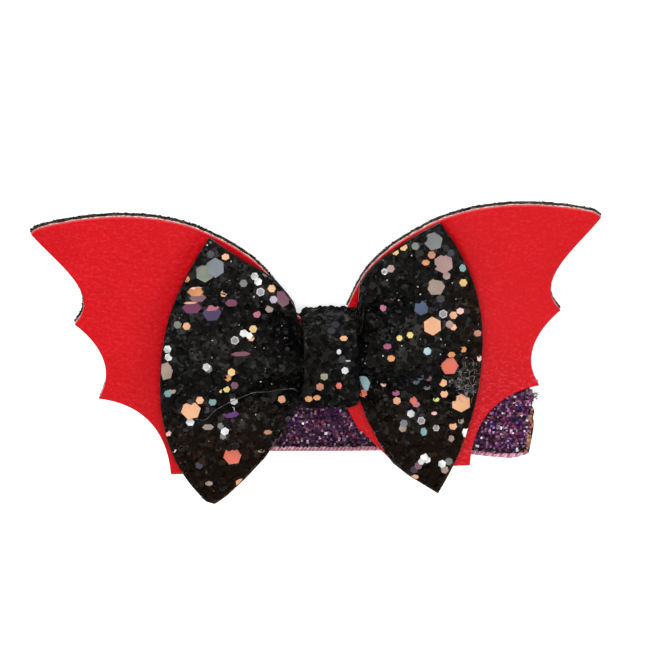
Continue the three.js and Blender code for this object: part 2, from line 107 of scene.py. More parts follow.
# The flakes that stand out on the bow, in the bow's own millimetres from the band's middle: x, y and
# colour, then the width if it isn't the usual one, the height if that differs, and the large ones' turn.
USUAL_FLAKE = 1.3
BOW_FLAKES = [
    (-17.9, 21.0, "greige", 1.1), (-18.0, 18.8, "dusk"), (-15.7, 18.3, "peach", 1.3, 1.1),
    (-19.1, 15.9, "sage", 3.0, 3.0, 30), (-17.4, 16.7, "steel", 3.0, 3.2, 30),
    # Painted highlights: the thin blush, copper and peach plates on the next lines are pale top edges of
    # the flakes under them.
    (-22.0, 15.0, "amber", 1.1), (-20.7, 12.9, "amber", 2.7, 1.5, 0),
    (-20.6, 13.5, "blush", 2.0, 0.4, 0), (-20.4, 11.9, "mauve", 2.7, 1.5, 0),
    (-20.5, 12.3, "copper", 2.0, 0.35, 0), (-21.6, 11.1, "peach", 2.2, 0.4, 0),
    (-21.4, 10.3, "violet", 3.2, 2.0, 0), (-18.3, 9.3, "indigo", 3.0, 2.8, 0),
    (-18.3, 10.1, "pink", 2.5, 1.0, 0), (-23.8, 7.6, "sage"), (-22.4, 7.3, "peach"),
    (-13.1, 14.2, "slate"), (-11.3, 15.2, "white"), (-10.8, 14.4, "white"), (-8.7, 13.2, "peach"),
    (-10.5, 12.8, "ring", 1.4), (-8.5, 11.5, "lilac"), (-7.0, 11.6, "mauve", 2.2, 3.2, 20),
    (-9.2, 9.7, "greige", 1.4, 1.3), (-9.5, 15.4, "slate", 1.1), (-16.3, 12.5, "peach", 1.1),
    (-15.1, 10.9, "plum", 2.2, 1.3, 0), (-11.2, 8.6, "pink"), (-11.9, 6.0, "gold"),
    (-13.4, 5.5, "white", 1.4, 1.3), (-12.6, 5.1, "white", 1.1), (-12.3, 4.7, "peach", 1.1),
    (-14.9, 4.6, "ring", 1.4), (-14.1, 2.6, "plum", 3.2, 0.8, 0), (-19.6, 0.7, "white"),
    (-19.3, 0.4, "slate"), (-15.7, -0.2, "gold"), (-16.3, -1.2, "amber", 1.1), (-15.3, -2.6, "mauve"),
    (-16.6, -3.3, "yellow", 1.1), (-17.5, -3.6, "yellow", 0.6), (-25.6, 3.7, "white"),
    (-25.5, 2.4, "white"), (-26.1, 0.1, "greige", 2.5, 3.0, 10), (-25.9, -3.7, "teal"),
    (-25.1, -3.2, "greige", 1.1), (-22.4, -6.8, "peach", 3.2, 3.0, 10), (-20.9, -5.1, "peach"),
    (-22.6, -8.9, "white", 1.4, 1.3), (-18.9, -5.5, "teal"), (-19.9, -6.9, "dusk", 1.1),
    (-15.5, -5.7, "pearl"), (-16.1, -8.0, "purple", 2.7, 1.3, 0), (-15.9, -7.1, "white", 1.0, 0.8),
    (-7.9, -5.9, "peach", 1.4, 1.3), (-19.8, -9.9, "greige", 1.9, 1.0, 0), (-17.8, -9.8, "slate", 1.1),
    (-17.2, -10.7, "white", 1.4, 1.3), (-17.5, -11.5, "slate", 1.1), (-10.4, -10.8, "copper", 1.4, 0.8),
    (-16.2, -14.8, "coral", 3.0, 2.9, 10), (-26.2, -10.6, "blush", 1.1), (-25.4, -13.6, "white", 0.8),
    (-21.5, -16.3, "dusk"), (-20.1, -19.6, "greige", 1.3, 0.8), (-15.1, -19.8, "peach", 1.6, 1.3),
    (-11.6, -14.1, "greige", 1.1, 0.6), (17.2, 19.0, "slate", 3.0, 3.0, 15), (14.3, 18.5, "sage"),
    (12.4, 18.5, "gold"), (11.1, 17.8, "gold", 1.1), (16.8, 16.9, "copper"),
    (15.8, 15.8, "amber", 1.3, 1.0), (18.6, 15.3, "rose", 3.2, 3.2, 30), (19.0, 13.3, "rose"),
    (19.8, 16.9, "dusk"), (21.6, 14.3, "teal", 1.1, 1.3), (21.6, 11.9, "gold"), (10.2, 15.4, "rose"),
    (9.2, 15.0, "white", 1.1), (17.2, 11.6, "greige", 3.0, 2.9, 0), (17.9, 9.5, "coal", 1.4, 1.3),
    (14.8, 8.1, "blue", 2.4, 2.4, 20), (8.8, 8.3, "pink", 1.1, 1.4), (10.3, 10.3, "plum", 1.0, 1.1),
    (18.2, 7.0, "ring", 1.4), (19.8, 6.7, "peach"), (20.9, 7.3, "blush", 1.3, 1.1),
    (16.4, 5.2, "peach", 3.0, 3.0, 30), (19.1, 5.3, "rose"), (19.7, 4.8, "peach", 1.1),
    (11.1, 3.6, "yellow", 1.0), (12.8, 4.0, "yellow", 1.1), (23.5, 3.5, "copper", 1.3, 1.1),
    (9.1, 2.5, "magenta", 1.4, 1.0), (9.6, 0.8, "amber", 1.3, 1.1), (15.4, 1.4, "sky", 1.3, 1.3, 12),
    (21.1, 1.1, "amber", 1.1), (19.2, 0.4, "amber", 1.3, 1.0), (18.8, -1.5, "coral", 2.9, 2.9, 0),
    (23.6, -0.7, "blush", 0.8, 1.1), (17.7, -4.4, "peach"), (17.8, -6.4, "peach"),
    (20.4, -8.2, "peach", 3.2, 3.0, 30), (13.4, -3.8, "navy", 1.2, 1.1), (14.1, -3.0, "navy", 1.2),
    (15.4, -3.3, "mauve", 1.1), (15.1, -5.0, "slate", 1.2, 1.0), (5.2, -4.6, "sky", 2.1, 2.8, 0),
    (5.0, -5.5, "coral"), (8.3, -4.6, "blush", 1.0), (10.2, -6.2, "magenta", 1.3, 1.0),
    (10.3, -7.5, "peach"), (12.9, -7.4, "coral"), (13.3, -8.1, "pink", 1.3, 1.0),
    (16.5, -7.3, "lime", 1.1, 0.8), (12.4, -9.6, "white"), (16.1, -9.7, "blush", 1.0, 0.6),
    (14.0, -10.8, "ring"), (11.2, -11.0, "steel"), (11.0, -11.7, "greige"), (16.3, -12.2, "ring", 1.1),
    (14.3, -12.6, "teal", 1.1, 1.4), (19.0, -12.1, "peach"), (20.3, -11.3, "greige", 1.0),
    (18.6, -14.2, "greige", 1.1), (21.0, -13.4, "white", 1.3, 1.7), (14.2, -16.9, "white"),
    (14.6, -17.5, "white", 1.3, 1.1), (13.7, -17.7, "pearl", 1.1), (13.2, -18.4, "mauve"),
    (12.5, -19.1, "dusk"), (17.0, -18.5, "white"), (18.1, -18.2, "slate"), (17.4, -19.6, "greige"),
    (12.6, -20.5, "peach", 1.3, 0.8),
]
BAND_FLAKES = [
    (2.1, 5.0, "peach", 1.3, 0.9), (1.3, 2.8, "pearl", 0.8, 0.9), (1.8, 1.5, "coal"),
    (2.7, 1.2, "pearl", 0.9, 0.25), (2.2, -0.4, "pearl", 1.2), (-1.1, -1.3, "moss"),
    (-1.8, -3.0, "copper"), (1.2, -2.9, "coral", 1.0, 1.1), (-3.6, -5.0, "amber", 1.3, 1.0),
    (-2.3, -4.8, "amber", 1.3, 0.9), (0.2, 9.0, "coal", 1.6, 1.2), (1.5, 8.9, "coal", 1.5, 1.2),
    (-1.1, 8.4, "coal", 1.4, 1.2), (0.9, 7.4, "coal", 1.4, 1.2), (0.2, 6.4, "coal", 1.4, 1.2),
]


def lie_down(points):
    """Face-up millimetres to metres in the frame."""
    x, y, z = np.asarray(points, float).reshape(-1, 3).T
    c, s = math.cos(LIE_TILT), math.sin(LIE_TILT)
    laid = np.stack([x, y * c + z * s, z * c - y * s], 1)
    return (laid + LIE_SHIFT) / 1000


def unit(vectors):
    return vectors / np.linalg.norm(vectors, axis=-1)[..., None]


def turned(points, angle, middle):
    """Points turned in the wings' plane and moved to a middle."""
    x, y, z = np.array(points, float).reshape(-1, 3).T
    c, s = math.cos(angle), math.sin(angle)
    return np.stack([x * c - y * s + middle[0], x * s + y * c + middle[1], z], 1)


def direction(x, y, z):
    """A face-up direction in the frame."""
    c, s = math.cos(LIE_TILT), math.sin(LIE_TILT)
    return Vector((x, y * c + z * s, z * c - y * s))


def add_object(name, mesh, material, smooth=False):
    piece = bpy.data.objects.new(name, mesh)
    bpy.context.scene.collection.objects.link(piece)
    mesh.materials.append(material)
    if smooth:
        mesh.shade_smooth()
    return piece


def from_bmesh(name, bm, material, smooth=False):
    """Lays a face-up bmesh down and makes it a piece."""
    co = lie_down([v.co for v in bm.verts])
    for v, place in zip(bm.verts, co):
        v.co = place
    mesh = bpy.data.meshes.new(name)
    bm.to_mesh(mesh)
    bm.free()
    return add_object(name, mesh, material, smooth)


def face_outwards(bm, middle=-1000.0):
    """Turns an open sheet's faces up above a height and down below it."""
    bmesh.ops.recalc_face_normals(bm, faces=bm.faces)
    if sum(f.normal.z * (1 if f.calc_center_median().z > middle else -1) for f in bm.faces) < 0:
        bmesh.ops.reverse_faces(bm, faces=bm.faces)


def thicken(bm, thickness):
    """Gives a sheet its wall, behind its faces."""
    bmesh.ops.solidify(bm, geom=list(bm.faces), thickness=thickness)


def laid_grid(columns, rows, surface):
    """A grid of columns and rows, put on a surface by its shares from -1 to 1."""
    bm = bmesh.new()
    bmesh.ops.create_grid(bm, x_segments=columns, y_segments=rows, size=1.0)
    along, over = np.array([v.co.xy for v in bm.verts]).T
    for v, p in zip(bm.verts, surface(along, over)):
        v.co = p
    return bm


# The camera, the lights and the table.

PIXELS_PER_MM = 6.31
LENS, SENSOR, IMAGE = 700.0, 36.0, 656
VIEW_TILT = math.radians(20)


def place_camera():
    """Looks at the wings' face from a little above it."""
    tilt, swing, roll = VIEW_TILT, math.radians(2), math.radians(1.7)
    back = (-math.sin(swing), math.cos(swing) * math.sin(tilt), math.cos(swing) * math.cos(tilt))
    right = np.array([math.cos(swing), math.sin(swing) * math.sin(tilt), math.sin(swing) * math.cos(tilt)])
    up = np.array([0, math.cos(tilt), -math.sin(tilt)])
    turned_right = direction(*(math.cos(roll) * right - math.sin(roll) * up))
    turned_up = direction(*(math.sin(roll) * right + math.cos(roll) * up))
    distance = LENS * IMAGE / (SENSOR * PIXELS_PER_MM) / 1000
    middle = Vector(lie_down((0, 0.3, 0))[0])
    target = middle + turned_right * 0.001506 + turned_up * 0.003645
    camera = bpy.data.objects.new("camera", bpy.data.cameras.new("camera"))
    camera.data.lens = LENS
    camera.data.sensor_width = SENSOR
    camera.data.clip_start = 0.05
    camera.data.clip_end = 20
    axes = Matrix((turned_right, turned_up, direction(*back))).transposed().to_4x4()
    camera.matrix_world = Matrix.Translation(target + direction(*back) * distance) @ axes
    bpy.context.scene.collection.objects.link(camera)
    bpy.context.scene.camera = camera


def soft_light(name, place, size, watts):
    """A round lamp that looks at the middle of the table."""
    light = bpy.data.lights.new(name, "AREA")
    light.shape = "DISK"
    light.size = size
    light.energy = watts
    lamp = bpy.data.objects.new(name, light)
    lamp.location = place
    lamp.rotation_euler = place.to_track_quat("Z", "Y").to_euler()
    bpy.context.scene.collection.objects.link(lamp)


def light_studio():
    world = bpy.data.worlds.new("studio")
    world.use_nodes = True
    background = world.node_tree.nodes["Background"]
    background.inputs["Color"].default_value = (1, 1, 1, 1)
    background.inputs["Strength"].default_value = 0.5
    bpy.context.scene.world = world
    bpy.context.scene.view_settings.view_transform = "Standard"
    soft_light("key", direction(-0.05, 0.25, 0.75), 0.3, 4.3)
    soft_light("side", direction(0.5, 0.25, 0.62), 0.3, 0.5)
    soft_light("sheen", direction(0.085, -0.257, 0.678), 0.1, 0.15)
    soft_light("low", direction(0.034, -0.058, 0.141), 0.03, 0.012)


def lay_floor(material):
    bm = bmesh.new()
    bmesh.ops.create_grid(bm, x_segments=2, y_segments=2, size=3.0)
    mesh = bpy.data.meshes.new("floor")
    bm.to_mesh(mesh)
    bm.free()
    add_object("floor", mesh, material)


# Materials.

def new_material(name, colour=(0.5, 0.5, 0.5), roughness=0.5, metallic=0.0, specular=0.5):
    material = bpy.data.materials.new(name)
    material.use_nodes = True
    shader = material.node_tree.nodes["Principled BSDF"]
    shader.inputs["Base Color"].default_value = (*colour, 1)
    shader.inputs["Roughness"].default_value = roughness
    shader.inputs["Metallic"].default_value = metallic
    shader.inputs["Specular IOR Level"].default_value = specular
    return material, material.node_tree, shader


def add_node(tree, kind, **values):
    """A node with its settings and its sockets' values, linked where a value is an output.

    A socket goes by its name, or by n and its number where others have the same name.
    """
    node = tree.nodes.new(kind)
    for key, value in values.items():
        if hasattr(node, key):
            setattr(node, key, value)
            continue
        socket = node.inputs[int(key[1:]) if key[1:].isdigit() else key.replace("_", " ")]
        if isinstance(value, bpy.types.NodeSocket):
            tree.links.new(value, socket)
        else:
            socket.default_value = value
    return node


def on_object(tree):
    return tree.nodes.new("ShaderNodeTexCoord").outputs["Object"]


def maths(tree, operation, *values):
    sockets = {f"n{i}": value for i, value in enumerate(values)}
    return add_node(tree, "ShaderNodeMath", operation=operation, **sockets).outputs["Value"]


def mixed(tree, factor, first, second, blend="MIX"):
    values = {"Factor": factor, "n6": first, "n7": second}
    return add_node(tree, "ShaderNodeMix", data_type="RGBA", blend_type=blend, **values).outputs[2]


def colour_ramp(tree, source, stops):
    ramp = add_node(tree, "ShaderNodeValToRGB", Fac=source)
    elements = ramp.color_ramp.elements
    while len(elements) < len(stops):
        elements.new(0.5)
    for element, (position, colour) in zip(elements, stops):
        element.position = position
        element.color = (*colour, 1)
    return ramp.outputs["Color"]


def add_bump(tree, shader, height, strength, distance):
    bump = add_node(tree, "ShaderNodeBump", Strength=strength, Distance=distance, Height=height)
    tree.links.new(bump.outputs["Normal"], shader.inputs["Normal"])


def leather_material():
    """Red leatherette with a fine pebbled grain; pink glints are painted into its colour, strongest where
    the right wing bends to its foot.
    """
    material, tree, shader = new_material("red_leatherette", roughness=0.36, specular=0.14)
    place = on_object(tree)
    cloud = add_node(tree, "ShaderNodeTexNoise", Vector=place, Scale=120.0, Detail=5.0, Roughness=0.6)
    pebble = add_node(tree, "ShaderNodeTexVoronoi", Vector=place, Scale=1400.0, Randomness=1.0)
    pore = add_node(tree, "ShaderNodeTexNoise", Vector=place, Scale=2600.0, Detail=3.0, Roughness=0.6)
    reds = [(0.3, (0.525, 0.0005, 0.004)), (0.7, (0.58, 0.001, 0.0055))]
    red = colour_ramp(tree, cloud.outputs["Fac"], reds)
    stretch = add_node(tree, "ShaderNodeMapping", Vector=place, Scale=(1.1, 1.7, 1.7))
    stretched = stretch.outputs["Vector"]
    grain = add_node(
        tree, "ShaderNodeTexNoise", Vector=stretched, Scale=1500.0, Detail=3.0, Roughness=0.65
    )
    # Painted glints: the grain's highest spots are tinted pink, the rest of the grain mottles the red a
    # little.
    shades = [(0.36, (0.84, 0.7, 0.7)), (0.53, (1.0, 1.0, 1.0)), (0.64, (1.2, 45.0, 12.0))]
    shade = colour_ramp(tree, grain.outputs["Fac"], shades)
    spread = add_node(tree, "ShaderNodeSeparateXYZ", Vector=place).outputs
    to_right = add_node(tree, "ShaderNodeMapRange", Value=spread["X"], From_Min=0.012, From_Max=0.024)
    to_foot = add_node(tree, "ShaderNodeMapRange", Value=spread["Y"], From_Min=0.001, From_Max=-0.009)
    bent = maths(tree, "MULTIPLY", to_right.outputs["Result"], to_foot.outputs["Result"])
    # The painted glints are at a quarter strength everywhere and at full strength on the right wing's
    # lower part.
    painted_glint_strength = maths(tree, "MULTIPLY_ADD", bent, 0.75, 0.25)
    tree.links.new(mixed(tree, painted_glint_strength, red, shade, "MULTIPLY"), shader.inputs["Base Color"])
    height = maths(tree, "ADD", pebble.outputs["Distance"], pore.outputs["Fac"])
    add_bump(tree, shader, height, 0.6, 0.00009)
    return material


def light_table_material():
    """A pale table that glows a little, so it shows no dark shadow."""
    material, _, shader = new_material("light_table", (0.93, 0.93, 0.93), 0.9, specular=0.1)
    shader.inputs["Emission Color"].default_value = (1, 1, 1, 1)
    shader.inputs["Emission Strength"].default_value = 0.55
    return material


def lining_material():
    material, tree, shader = new_material("white_lining", (0.85, 0.83, 0.80), 0.9, specular=0.1)
    fuzz = add_node(tree, "ShaderNodeTexNoise", Vector=on_object(tree), Scale=3000.0, Detail=3.0)
    tints = [(0.38, (0.30, 0.10, 0.08)), (0.5, (0.55, 0.42, 0.38)), (0.62, (0.78, 0.74, 0.71))]
    tree.links.new(colour_ramp(tree, fuzz.outputs["Fac"], tints), shader.inputs["Base Color"])
    add_bump(tree, shader, fuzz.outputs["Fac"], 0.6, 0.0001)
    return material


def fine_glitter_group():
    """Fine glitter: cells with their own shade and their own slant."""
    group = bpy.data.node_groups.new("fine_glitter", "ShaderNodeTree")
    new_socket = group.interface.new_socket
    new_socket("Cell Scale", in_out="INPUT", socket_type="NodeSocketFloat").default_value = 1800.0
    new_socket("Slant", in_out="INPUT", socket_type="NodeSocketFloat").default_value = 0.6
    new_socket("Shade", in_out="OUTPUT", socket_type="NodeSocketFloat")
    new_socket("Normal", in_out="OUTPUT", socket_type="NodeSocketVector")
    entry = group.nodes.new("NodeGroupInput").outputs
    cells = add_node(group, "ShaderNodeTexVoronoi", Vector=on_object(group), Scale=entry["Cell Scale"])
    tint = cells.outputs["Color"]
    centre = add_node(group, "ShaderNodeVectorMath", operation="SUBTRACT", n0=tint, n1=(0.5, 0.5, 0.5))
    centred = centre.outputs["Vector"]
    slant = add_node(group, "ShaderNodeVectorMath", operation="SCALE", n0=centred, Scale=entry["Slant"])
    normal = group.nodes.new("ShaderNodeNewGeometry").outputs["Normal"]
    slanted = slant.outputs["Vector"]
    lean = add_node(group, "ShaderNodeVectorMath", operation="ADD", n0=slanted, n1=normal)
    unit = add_node(group, "ShaderNodeVectorMath", operation="NORMALIZE", n0=lean.outputs["Vector"])
    split = add_node(group, "ShaderNodeSeparateColor", Color=tint)
    add_node(group, "NodeGroupOutput", Shade=split.outputs["Red"], Normal=unit.outputs["Vector"])
    return group


def glitter_material(name, group, stops, edge_colour, cell_scale, slant):
    """Glitter canvas. The edge attribute is 1 at a cut edge, where the cloth under the glitter shows."""
    material, tree, shader = new_material(name, roughness=0.4, specular=0.12)
    glitter = tree.nodes.new("ShaderNodeGroup")
    glitter.node_tree = group
    glitter.inputs["Cell Scale"].default_value = cell_scale
    glitter.inputs["Slant"].default_value = slant
    shade = colour_ramp(tree, glitter.outputs["Shade"], stops)
    edge = add_node(tree, "ShaderNodeAttribute", attribute_name="edge")
    colour = mixed(tree, edge.outputs["Fac"], shade, (*edge_colour, 1))
    tree.links.new(colour, shader.inputs["Base Color"])
    tree.links.new(glitter.outputs["Normal"], shader.inputs["Normal"])
    return material


def flake_material(name, roughness, specular, metallic=0.0):
    """Flakes carry their colour in an attribute."""
    material, tree, shader = new_material(name, roughness=roughness, specular=specular, metallic=metallic)
    shader.inputs["Specular Tint"].default_value = (1.0, 0.92, 0.85, 1)
    colour = add_node(tree, "ShaderNodeAttribute", attribute_name="flake").outputs["Color"]
    smear = add_node(tree, "ShaderNodeTexNoise", Vector=on_object(tree), Scale=500.0, Detail=2.0)
    shade = colour_ramp(tree, smear.outputs["Fac"], [(0.3, (0.88, 0.88, 0.9)), (0.7, (1.0, 1.0, 0.99))])
    tree.links.new(mixed(tree, 1.0, colour, shade, "MULTIPLY"), shader.inputs["Base Color"])
    return material


def steel_material():
    material, tree, shader = new_material("clip_steel", (0.55, 0.56, 0.58), 0.3, 1.0)
    stretch = add_node(tree, "ShaderNodeMapping", Vector=on_object(tree), Scale=(1.0, 30.0, 30.0))
    brushed = add_node(
        tree, "ShaderNodeTexNoise", Vector=stretch.outputs["Vector"], Scale=90.0, Detail=4.0
    ).outputs["Fac"]
    grey = colour_ramp(tree, brushed, [(0.3, (0.46, 0.47, 0.49)), (0.7, (0.62, 0.63, 0.65))])
    rough = colour_ramp(tree, brushed, [(0.3, (0.36, 0.36, 0.36)), (0.7, (0.24, 0.24, 0.24))])
    tree.links.new(grey, shader.inputs["Base Color"])
    tree.links.new(rough, shader.inputs["Roughness"])
    add_bump(tree, shader, brushed, 0.15, 0.00005)
    return material


def cloth_material(name, dark, light):
    """Plain woven cloth: two crossing sets of threads."""
    material, tree, shader = new_material(name, roughness=0.85, specular=0.15)
    place = on_object(tree)
    warp, weft = (
        add_node(tree, "ShaderNodeTexWave", Vector=place, Scale=250.0, bands_direction=way).outputs["Fac"]
        for way in ("X", "Y")
    )
    height = maths(tree, "MULTIPLY", warp, weft)
    shade = colour_ramp(tree, height, [(0.0, dark), (0.6, light)])
    tree.links.new(shade, shader.inputs["Base Color"])
    add_bump(tree, shader, height, 0.4, 0.0001)
    return material


# The wings.

def bezier(a, b, c, d, steps):
    t = np.linspace(0, 1, steps + 1)[1:, None]
    return (1 - t) ** 3 * a + 3 * (1 - t) ** 2 * t * b + 3 * (1 - t) * t**2 * c + t**3 * d


def through(points, steps):
    """A smooth line through points."""
    p = np.array(points, float)
    p = np.vstack([2 * p[0] - p[1], p, 2 * p[-1] - p[-2]])
    line = [p[1]]
    for i in range(1, len(p) - 2):
        a, b, c, d = p[i - 1 : i + 3]
        line.extend(bezier(b, b + (c - a) / 6, c - (d - b) / 6, c, steps))
    return np.array(line)


def wing_point(across, up):
    return np.array([across * WING_HALF_SPAN, up * (WING_RISE if up > 0 else WING_DROP)])


def wings_outline():
    """Both wings' outline, anticlockwise from the right wing's foot."""
    top = through([(WAIST_HALF_LENGTH, WAIST_HALF_HEIGHT)] + [wing_point(*row) for row in TOP_EDGE], 4)
    edge = list(top)
    start = top[-1]
    for leave, arrive, end in BAYS:
        end_point = wing_point(*end)
        edge.extend(bezier(start, wing_point(*leave), wing_point(*arrive), end_point, 16))
        start = end_point
    edge.extend(wing_point(*row) for row in INNER_EDGE)
    edge.append(np.array([WAIST_HALF_LENGTH, -WAIST_HALF_HEIGHT]))
    right = np.array(edge)[::-1]
    left = right[::-1] * (-1, 1)
    return np.vstack([right, left])


def grown(outline, amounts):
    """The outline moved outwards by an amount at each point."""
    before = outline - np.roll(outline, 1, 0)
    after = np.roll(outline, -1, 0) - outline
    along = unit(unit(before) + unit(after))
    outwards = np.stack([along[:, 1], -along[:, 0]], 1)
    return outline + outwards * np.asarray(amounts)[:, None]


def resampled(outline, step):
    closed = np.vstack([outline, outline[:1]])
    length = np.concatenate([[0], np.cumsum(np.linalg.norm(np.diff(closed, axis=0), axis=1))])
    count = int(length[-1] / step)
    at = np.linspace(0, length[-1], count, endpoint=False)
    return np.stack([np.interp(at, length, closed[:, k]) for k in (0, 1)], 1)


def rim_growth(edge, left_top, right_top, below):
    """How far a sheet stands out along the left wing's top edge, the right one's and the lower edges."""
    top = edge[:, 1] > 5
    left = edge[:, 0] < -6
    return np.where(top & left, left_top, np.where(top, right_top, below))


def in_passage(x, y):
    """Where the band passes above and below the waist."""
    return abs(x - BAND_SHIFT) < PASSAGE_HALF_WIDTH and WAIST_HALF_HEIGHT < abs(y) < PASSAGE_END


def wing_sheet(name, outline, front, thickness, material, wave, round_edge=0.0, cell=2.5):
    """A sheet cut to the outline, open where the band passes."""
    bm = bmesh.new()
    bm.faces.new([bm.verts.new((x, y, front)) for x, y in outline])
    across = [BAND_SHIFT - PASSAGE_HALF_WIDTH, BAND_SHIFT + PASSAGE_HALF_WIDTH]
    up = [-PASSAGE_END, -WAIST_HALF_HEIGHT, WAIST_HALF_HEIGHT, PASSAGE_END]
    cuts = [((x, 0, 0), (1, 0, 0)) for x in across]
    cuts += [((0, y, 0), (0, 1, 0)) for y in up]
    cuts += [((x, 0, 0), (1, 0, 0)) for x in np.arange(-45 + cell, 45, cell)]
    cuts += [((0, y, 0), (0, 1, 0)) for y in np.arange(-19 + cell, 23, cell)]
    for place, normal in cuts:
        geometry = list(bm.verts) + list(bm.edges) + list(bm.faces)
        bmesh.ops.bisect_plane(bm, geom=geometry, dist=1e-5, plane_co=place, plane_no=normal)
    gone = [f for f in bm.faces if in_passage(*f.calc_center_median().xy)]
    bmesh.ops.delete(bm, geom=gone, context="FACES")
    face_outwards(bm)
    for v in bm.verts:
        v.co.z += wave * noise.noise(Vector((v.co.x / 14, v.co.y / 14, 3.7)))
    thicken(bm, thickness)
    low = min(v.co.z for v in bm.verts)
    bmesh.ops.translate(bm, verts=bm.verts, vec=(0, 0, front - thickness - wave - low))
    if round_edge:
        rim = [e for e in bm.edges if e.calc_face_angle(0) > 1.0]
        bmesh.ops.bevel(
            bm, geom=rim, offset=round_edge, segments=2, profile=0.5, affect="EDGES", material=-1
        )
    return from_bmesh(name, bm, material)


# The bow.

def section(out, column):
    return np.interp(np.clip(out, 0, 1), SECTIONS[:, 0], SECTIONS[:, column])


def heights(side, out):
    up = np.where(side < 0, section(out, 1), section(out, 2)) * BOW_RISE
    down = np.where(side < 0, section(out, 3), section(out, 4)) * BOW_DROP
    return up, down


def loop_reach(side, high):
    values = [np.where(side < 0, left, right) for left, right in zip(LOOPS[-1], LOOPS[1])]
    reach, top_corner, top_square, low_corner, low_square, skew = values
    corner = np.where(high > 0, top_corner, low_corner)
    square = np.where(high > 0, top_square, low_square)
    share = np.minimum(np.abs(high), 1)
    return reach + skew * high * (1 - share) - (reach - corner) * share**square


def bow_surface(side, out, high):
    """The bow's front at a share out along a loop and a share high from -1, its lower edge, to 1."""
    side, out, high = np.broadcast_arrays(*(np.asarray(v, float) for v in (side, out, high)))
    up, down = heights(side, out)
    x = side * (BOW_START + out * (loop_reach(side, high) - BOW_START))
    y = high * np.where(high > 0, up, down)
    wave = np.cos(2 * math.pi * high / RIDGE_PITCH)
    z = section(out, 5) + section(out, 6) * wave - section(out, 7) * high**2
    return np.stack([x, y, z], -1)


def find_on_bow(x, y):
    """The side, share out and share high of a place on the bow."""
    x, y = np.asarray(x, float), np.asarray(y, float)
    side = np.where(x < 0, -1.0, 1.0)
    out = np.full(x.shape, 0.5)
    high = np.zeros(x.shape)
    for _ in range(30):
        up, down = heights(side, out)
        high = y / np.where(y > 0, up, down)
        out = np.maximum((np.abs(x) - BOW_START) / (loop_reach(side, high) - BOW_START), 0)
    return side, out, high


def bow_normal(side, out, high):
    step = 0.004
    nearer = bow_surface(side, np.maximum(out - step, 0), high)
    further = bow_surface(side, np.minimum(out + step, 1), high)
    lower = bow_surface(side, out, np.maximum(high - step, -1))
    upper = bow_surface(side, out, np.minimum(high + step, 1))
    return unit(np.cross(further - nearer, upper - lower) * np.asarray(side)[..., None])


def turn_bow(points):
    """From the bow's own place to the face-up one."""
    return turned(points, BOW_TURN, (BAND_SHIFT, 0))


def mark_edge(bm, below=1000):
    """The edge attribute is 1 on a sheet's cut edge where that is lower than a height."""
    layer = bm.verts.layers.float.new("edge")
    for v in bm.verts:
        v[layer] = 1.0 if v.is_boundary and v.co.y < below else 0.0


def bow_canvas(material):
    """One sheet, pinched into three ridges under the band."""
    waist = 0.1

    def surface(along, high):
        side = np.where(along < 0, -1.0, 1.0)
        out = np.maximum((np.abs(along) - waist) / (1 - waist), 0) ** 1.3
        left, right = bow_surface(-1.0, 0.0, high), bow_surface(1.0, 0.0, high)
        share = ((along + waist) / (2 * waist))[:, None]
        under_band = (np.abs(along) < waist)[:, None]
        return turn_bow(np.where(under_band, left + (right - left) * share, bow_surface(side, out, high)))

    bm = laid_grid(120, 72, surface)
    mark_edge(bm, below=-9)
    face_outwards(bm)
    thicken(bm, CANVAS_THICKNESS)
    for v in bm.verts:
        v.co.z = max(v.co.z, 0.1)
    return from_bmesh("bow_canvas", bm, material, smooth=True)


# Flakes of glitter.

def add_plates(
    name, material, places, normals, turns, widths, colours, thickness, sides=6, keep_in=None,
    lay=turn_bow, tall=None,
):
    """A piece of many thin plates with the given number of sides. Every size is in millimetres."""
    places, normals = np.asarray(places, float), np.asarray(normals, float)
    count = len(places)
    across = unit(np.cross(np.array([0.0, 1.0, 0.02]), normals))
    upwards = np.cross(normals, across)
    ring = np.arange(sides) * 2 * math.pi / sides
    angle = ring[None, :] + np.asarray(turns)[:, None]
    half_wide = np.asarray(widths)[:, None] / 2
    half_tall = half_wide if tall is None else np.asarray(tall)[:, None] / 2
    flat = (
        across[:, None, :] * (np.cos(angle) * half_wide)[..., None]
        + upwards[:, None, :] * (np.sin(angle) * half_tall)[..., None]
    )
    top = places[:, None, :] + flat
    if keep_in is not None:
        top = keep_in(top)
    bottom = top - normals[:, None, :] * thickness
    verts = np.concatenate([top, bottom], 1).reshape(-1, 3)
    if lay is not None:
        verts = lay(verts)
    verts = lie_down(verts)
    faces = []
    for i in range(count):
        a = i * 2 * sides
        b = a + sides
        faces.append(tuple(range(a, b)))
        faces.append(tuple(range(b + sides - 1, b - 1, -1)))
        for k in range(sides):
            m = (k + 1) % sides
            faces.append((a + k, b + k, b + m, a + m))
    mesh = bpy.data.meshes.new(name)
    mesh.from_pydata(verts.tolist(), [], faces)
    layer = mesh.attributes.new("flake", "FLOAT_COLOR", "POINT")
    rgba = np.ones((count, 2 * sides, 4))
    colours = np.asarray(colours)
    painted_corner_shade = np.random.default_rng(count).uniform(0.72, 1.0, (count, 2 * sides, 1))
    # Painted shade: every plate's corners are darkened at random as if creased, and white plates, whose
    # colour is over 1, much more.
    painted_corner_shade **= np.where(colours.max(1) > 1, 4, 1)[:, None, None]
    rgba[..., :3] = colours[:, None, :] * painted_corner_shade
    layer.data.foreach_set("color", rgba.ravel())
    return add_object(name, mesh, material)


def flake_row(x, y, colour, wide=USUAL_FLAKE, tall=None, turn=None):
    """A row of a chart with what it leaves out."""
    return x, y, wide, wide if tall is None else tall, colour, turn


def leaned(normals, rng, spread):
    """Normals leaned at random by about a spread in radians."""
    return unit(normals + rng.normal(0, spread, normals.shape))


